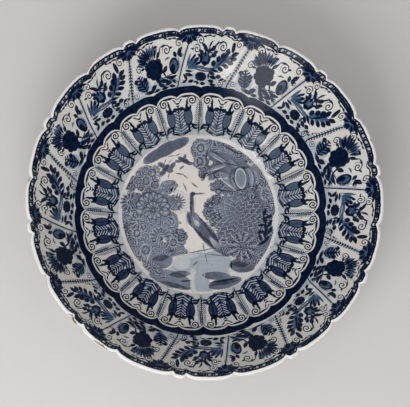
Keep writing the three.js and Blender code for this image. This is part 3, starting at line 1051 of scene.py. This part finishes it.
# The rock and the ground round it.
picture.bars("ground", (2, -48, 0, 29, 9.6, 1.5), (3.5, -67, 90, 11, 8, 0.4))
picture.dabs("ground", (18, -48, 0, 16, 11.5), (-14, -51, 0, 11, 7))
picture.dabs("white", (-17, -49, 0, 9, 7.6), (-12, -43, 8, 13, 2.4))
picture.bars("white", (-5.6, -67, 92, 12, 2.2, 0.5))
picture.strokes(
    "shade", (-3, -50, 40, 4, 0.7), (8, -44, 100, 6, 0.5), (18, -41, -6, 12, 0.5),
    (2, -37, 12, 18, 0.6, 0.5), (-18, -61, 4, 12, 3.4), (-38, -45, 10, 9, 3),
    (-24, -72, -14, 15, 2.4), (27, -68.6, 12, 16, 2), (42, -50, 0, 9, 3),
)
picture.strokes(
    "reserve", (12, -45, 2, 14, 0.9), (16, -49, -3, 12, 0.8), (10, -53, 4, 12, 0.9),
    (6, -64, 84, 9, 0.8), (-3.6, 12, 88, 9, 0.5), (-4, -7, -70, 6, 0.8, 0.3),
)
picture.dabs(
    "blue", (-38, -47, 0, 12.5, 9), (-28, -66, -14, 22, 8.5), (-20, -72, -12, 14, 4),
    (44, -51, 0, 13, 7.5), (27, -69, 14, 17, 6), (18, -62, 0, 14, 4),
)
picture.strokes("navy", (26, -66.4, 11, 15.5, 1.1), (-12, -67.6, 4, 6, 0.8))
picture.mark("frond", "wash", -20, -58, 180, 15, 5.5, Pairs=6, Slant=0.2, Line=0.2)

picture.dabs(
    "sky", (-14, 32, -50, 34, 20), (-22, 55, 20, 26, 14), (-6, 0, 90, 40, 16), (-62, 46, 45, 24, 9),
)
picture.petals("reserve", 9, -20, 3, 20, 4, 0.7, start=-62, arc=24)

# The masses' edges are ragged, and curled petals fill them outside the larger flowers.
MASSES_END = 76
FLAT = {"noise_dimensions": "2D"}
wavy = add_node(tree, "TexNoise", FLAT, Vector=paper, Scale=0.09, Detail=2)
shifted = vector_calc("MULTIPLY_ADD", wavy.outputs["Color"], (9, 9, 0), paper)
petal_cells, curly_cells = (
    add_node(tree, "TexVoronoi", {"voronoi_dimensions": "2D"}, Vector=place, Scale=scale)
    for place, scale in ((shifted, 0.115), (paper, 0.26))
)
curls = curly_cells.outputs["Distance"]
mass = scaled(curls, 0.42, minus(masses.ink["blue"], 0.2))
past_end = minus(vector_calc("LENGTH", paper), MASSES_END)
mass = larger(mass, past_end)
masses.ink["blue"] = mass
on_flowers = minus(2.05, flowers.ink["mid"])
outside = larger(times(mass, 1.05), on_flowers)
cells = times(petal_cells.outputs["Distance"], 4.2)
curves = scaled(mottle(tree, 60, 2), 1.4, cells)
bared = scaled(mottle(tree, 140, 2), 1.6, -0.6)
for strength, shift, half in (("shade", 0, 0.17), ("reserve", 0.42, 0.16)):
    phase = calc("FRACT", plus(curves, shift))
    curve = plus(line_at(phase, 0.5, half), bared)
    masses.ink[strength] = larger(curve, outside)
picture.take(masses)
glaze_over(shader, picture.ink, FLOOR_INKS)

face = finished(bm, "painted_face", [floor_paint, wall_paint, rim], "face_glaze")

# The glazed back
# The same white glaze without painting, from the tip of the edge down the outside of the foot.
plain_glaze, _, shader = new_material("plain_glaze")
glaze_over(shader, {})

foot_side = [
    at(FOOT_RADIUS, UNDERSIDE),
    at(FOOT_RADIUS, BARE_HEIGHT),
    at(CLAY_OUTSIDE, BARE_HEIGHT),
    at(CLAY_OUTSIDE, UNDERSIDE + GLAZE),
]
coat_back = back_line(COAT_DEPTH, count=16)[::-1]
bm = turned(back_line(0, count=30) + foot_side + coat_back, closes=True)
make_lobes(bm)
back = finished(bm, "plain_back", [plain_glaze], "back_glaze")

# The glaze in the foot's well
# It covers the underside and the inside of the foot ring.
well_outline = [
    at(0, UNDERSIDE + GLAZE),
    at(CLAY_INSIDE, UNDERSIDE + GLAZE),
    at(CLAY_INSIDE, BARE_HEIGHT),
    at(FOOT_INSIDE, BARE_HEIGHT),
    at(FOOT_INSIDE, UNDERSIDE),
    at(0, UNDERSIDE),
]
bm = turned(well_outline, closes=False, steps=SMALL_STEPS_ROUND)
make_lobes(bm)
well = finished(bm, "foot_well_glaze", [plain_glaze], "base_glaze")

# The floor, the light and the camera
# A pale floor, a broad soft lamp on the low side with its sheen, a weak one near the view, and
# three small ones whose glints show in the photograph.
floor_mesh = bpy.data.meshes.new("floor")
bm = bmesh.new()
bmesh.ops.create_grid(bm, x_segments=1, y_segments=1, size=4)
bm.to_mesh(floor_mesh)
bm.free()
floor = bpy.data.objects.new("floor", floor_mesh)
bpy.context.scene.collection.objects.link(floor)
floor_material, _, shader = new_material("pale_floor")
feed_all(shader, Base_Color=(0.72, 0.71, 0.7, 1), Roughness=0.9)
floor_mesh.materials.append(floor_material)

TILT = math.radians(13.5)  # the camera stands this far off the dish's axis
TILT_WAY = Vector((-0.43, -0.9, 0)).normalized()
VIEW_DISTANCE = 5
PICTURE_WIDTH = 397.8 * MM
AIM_SHIFT = Vector((-0.3, -2.8, 0)) * MM
SENSOR = 36  # a camera's sensor and lens are in millimetres
LOOK_AT = Vector((0, 0, DISH_HEIGHT))


def aimed(obj, place, target):
    """Puts a lamp or a camera at a place, looking at a target, with +Y up in its view."""
    out = (place - target).normalized()
    right = Vector((0, 1, 0)).cross(out).normalized()
    up = out.cross(right)
    obj.matrix_world = Matrix((right, up, out)).transposed().to_4x4()
    obj.matrix_world.translation = place
    bpy.context.scene.collection.objects.link(obj)


def soft_lamp(name, way, distance, size, power):
    lamp = bpy.data.lights.new(name, "AREA")
    lamp.shape = "DISK"
    lamp.size = size
    lamp.energy = power
    lamp_object = bpy.data.objects.new(name, lamp)
    aimed(lamp_object, LOOK_AT + way.normalized() * distance, LOOK_AT)
    return lamp_object


def heading(azimuth, elevation):
    """A direction, by degrees of azimuth and elevation."""
    across, up = direction(elevation)
    x, y = direction(azimuth)
    return Vector((x * across, y * across, up))


# Each lamp has its direction, its distance and size in metres, and its power in watts. The broad
# one makes no glints, and most of the others nothing else.
upright = Vector((0, 0, math.cos(TILT)))
across_from_view = upright - TILT_WAY * math.sin(TILT)
soft_lamp("broad_lamp", heading(247, 37), 1.6, 1.2, 16).visible_glossy = False
soft_lamp("sheen_lamp", heading(247, 27), 2, 0.9, 9.5).visible_diffuse = False
soft_lamp("view_lamp", across_from_view, 2, 0.62, 0.5)
soft_lamp("high_spark", heading(105, 84.5), 2.2, 0.07, 5).visible_diffuse = False
soft_lamp("low_spark", heading(263, 23), 2, 0.07, 2.6).visible_diffuse = False
soft_lamp("glint", heading(222, 67), 2, 0.1, 2.6).visible_diffuse = False

world = bpy.data.worlds.new("studio")
bpy.context.scene.world = world
world.use_nodes = True
sky = world.node_tree.nodes["Background"]
feed_all(sky, Color=(1, 1, 1, 1), Strength=0.5)
world.cycles_visibility.glossy = False

camera = bpy.data.cameras.new("camera")
camera_object = bpy.data.objects.new("camera", camera)
aim = LOOK_AT + AIM_SHIFT
aimed(camera_object, aim + (upright + TILT_WAY * math.sin(TILT)) * VIEW_DISTANCE, aim)
camera.sensor_width = SENSOR
camera.lens = SENSOR * VIEW_DISTANCE / PICTURE_WIDTH
camera.clip_end = 20
bpy.context.scene.camera = camera_object
bpy.context.scene.view_settings.view_transform = "Standard"
